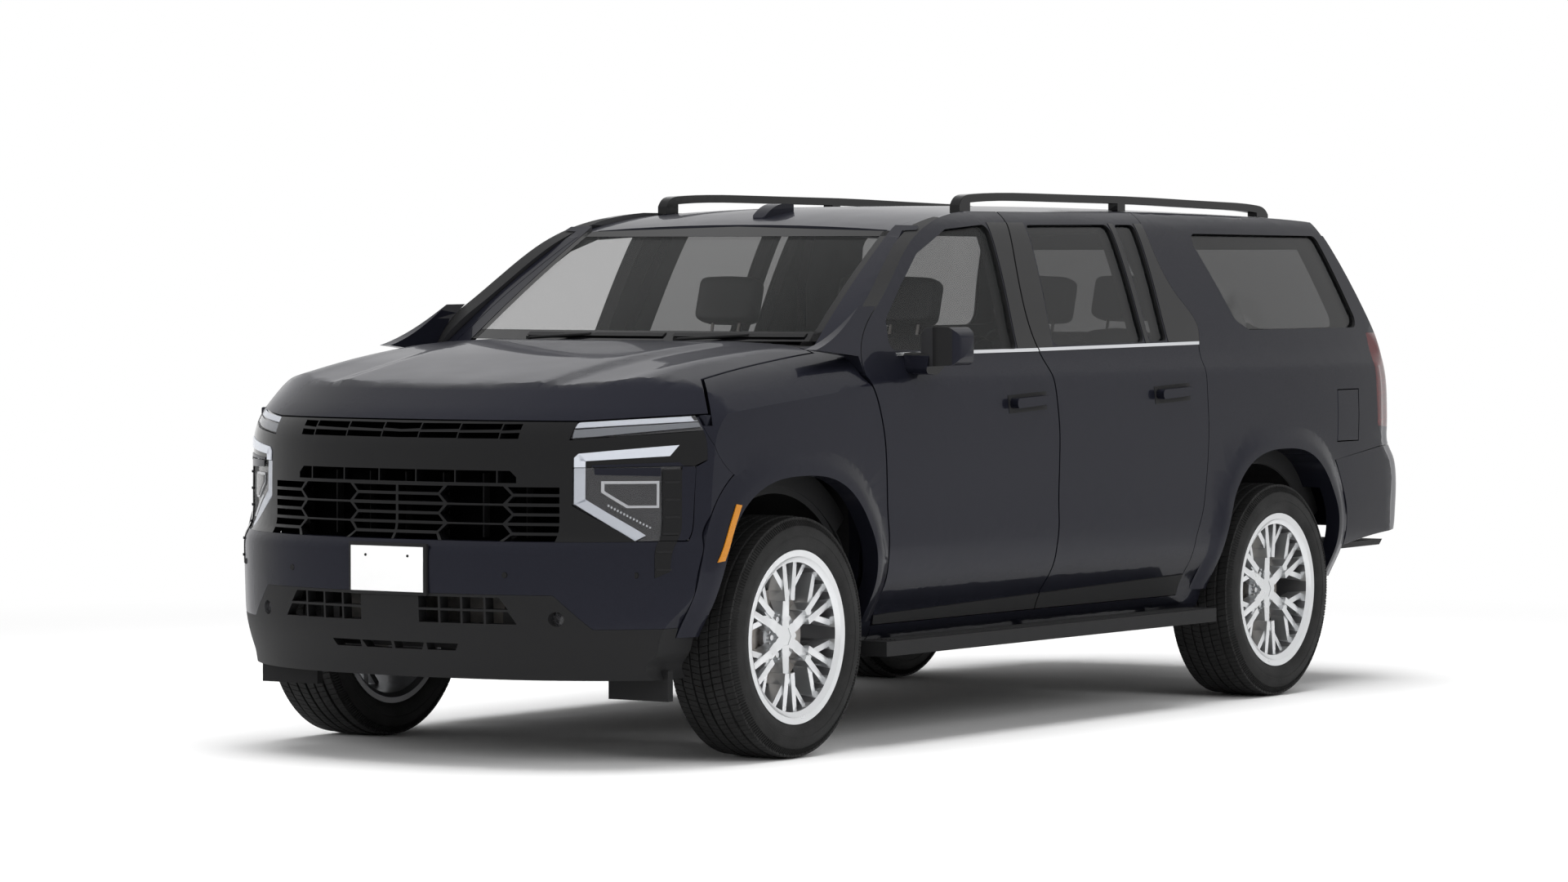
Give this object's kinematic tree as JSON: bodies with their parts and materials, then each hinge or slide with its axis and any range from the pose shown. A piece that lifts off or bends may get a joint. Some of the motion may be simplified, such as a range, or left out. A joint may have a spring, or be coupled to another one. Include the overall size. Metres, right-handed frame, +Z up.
{
  "type": "full-size sport utility vehicle",
  "caption": "Full-size long-wheelbase SUV with opening doors, hood and tail gate, steering front wheels and a furnished hollow cabin.",
  "frame": {"origin": "on the ground under the middle of the vehicle", "axes": "+X to the vehicle's left, +Y to its rear, +Z up"},
  "size_m": [2.3812, 5.7492, 1.9544],
  "materials": {
    "paint": "deep blue-grey metallic clear coat",
    "paint_black": "gloss black",
    "trim_black": "grained black",
    "glass": "tinted",
    "lamp": "clear lens",
    "tail_lamp": "dark red lens",
    "tyre": "tread and sidewall",
    "rim": "bright machined silver",
    "frame": "black chassis paint",
    "iron": "as cast",
    "steel": "dull steel",
    "seat": "black leather",
    "cabin": "soft grain"
  },
  "bodies": {
    "root": {"body_sides": "paint", "roof_panel": "paint", "front_fenders": "paint", "front_bumper": "paint", "front_valance": "trim_black", "grille": "paint_black", "headlamps": "lamp", "tail_lamps": "tail_lamp", "rear_bumper": "paint", "fixed_glass": "glass", "floor_pan": "trim_black", "cowl": "trim_black", "seats": "seat", "dashboard": "cabin", "roof_rails": "paint_black", "running_boards": "trim_black", "exhaust": "steel", "spare_wheel": "tyre", "chassis_frame": "frame", "engine_block": "iron", "fuel_tank": "trim_black", "driveline": "iron", "suspension_arms": "frame", "radiator": "iron", "wipers": "trim_black", "tow_receiver": "frame", "rear_suspension": "frame"},
    "hood": {"hood": "paint"},
    "door_fl": {"door_front_left": "paint", "glass_front_left": "glass"},
    "door_fr": {"door_front_right": "paint", "glass_front_right": "glass"},
    "door_rl": {"door_rear_left": "paint", "glass_rear_left": "glass"},
    "door_rr": {"door_rear_right": "paint", "glass_rear_right": "glass"},
    "liftgate": {"liftgate": "paint", "liftgate_glass": "glass"},
    "fuel_door": {"fuel_door": "paint"},
    "knuckle_l": {"knuckle_left": "iron"},
    "knuckle_r": {"knuckle_right": "iron"},
    "steering_wheel": {"steering_wheel": "seat"},
    "wheel_fl": {"tyre_fl": "tyre", "rim_fl": "rim"},
    "wheel_fr": {"tyre_fr": "tyre", "rim_fr": "rim"},
    "wheel_rl": {"tyre_rl": "tyre", "rim_rl": "rim"},
    "wheel_rr": {"tyre_rr": "tyre", "rim_rr": "rim"}
  },
  "joints": [
    {"name": "hood_hinge", "type": "hinge", "parent": "root", "child": "hood", "pos_m": [0, -1.562, 1.421], "axis": [-1, 0, 0], "range_deg": [0, 50]},
    {"name": "door_fl_hinge", "type": "hinge", "parent": "root", "child": "door_fl", "pos_m": [1.007, -1.441, 1], "axis": [0, 0, -1], "range_deg": [0, 65]},
    {"name": "door_fr_hinge", "type": "hinge", "parent": "root", "child": "door_fr", "pos_m": [-1.007, -1.441, 1], "axis": [0, 0, 1], "range_deg": [0, 65]},
    {"name": "door_rl_hinge", "type": "hinge", "parent": "root", "child": "door_rl", "pos_m": [1.007, -0.2385, 1], "axis": [0, 0, -1], "range_deg": [0, 68]},
    {"name": "door_rr_hinge", "type": "hinge", "parent": "root", "child": "door_rr", "pos_m": [-1.007, -0.2385, 1], "axis": [0, 0, 1], "range_deg": [0, 68]},
    {"name": "liftgate_hinge", "type": "hinge", "parent": "root", "child": "liftgate", "pos_m": [0, 2.232, 1.886], "axis": [1, 0, 0], "range_deg": [0, 85]},
    {"name": "fuel_door_hinge", "type": "hinge", "parent": "root", "child": "fuel_door", "pos_m": [1.004, 2.005, 1.085], "axis": [0, 0, -1], "range_deg": [0, 95]},
    {"name": "steer_left", "type": "hinge", "parent": "root", "child": "knuckle_l", "pos_m": [0.8, -1.874, 0.415], "axis": [0, 0, 1], "range_deg": [-35, 35]},
    {"name": "steer_right", "type": "hinge", "parent": "root", "child": "knuckle_r", "pos_m": [-0.8, -1.874, 0.415], "axis": [0, 0, 1], "range_deg": [-35, 35]},
    {"name": "steering_column", "type": "hinge", "parent": "root", "child": "steering_wheel", "pos_m": [0.4, -0.935, 1.19], "axis": [0, -0.9135, -0.4067], "range_deg": [-560, 560]},
    {"name": "spin_fl", "type": "hinge", "parent": "knuckle_l", "child": "wheel_fl", "pos_m": [0.866, -1.874, 0.415], "axis": [1, 0, 0], "continuous": true},
    {"name": "spin_fr", "type": "hinge", "parent": "knuckle_r", "child": "wheel_fr", "pos_m": [-0.866, -1.874, 0.415], "axis": [1, 0, 0], "continuous": true},
    {"name": "spin_rl", "type": "hinge", "parent": "root", "child": "wheel_rl", "pos_m": [0.866, 1.532, 0.415], "axis": [1, 0, 0], "continuous": true},
    {"name": "spin_rr", "type": "hinge", "parent": "root", "child": "wheel_rr", "pos_m": [-0.866, 1.532, 0.415], "axis": [1, 0, 0], "continuous": true}
  ],
  "couplings": [
    {"joint": "steer_right", "follows": "steer_left", "ratio": 1},
    {"joint": "steering_column", "follows": "steer_left", "ratio": -15}
  ]
}
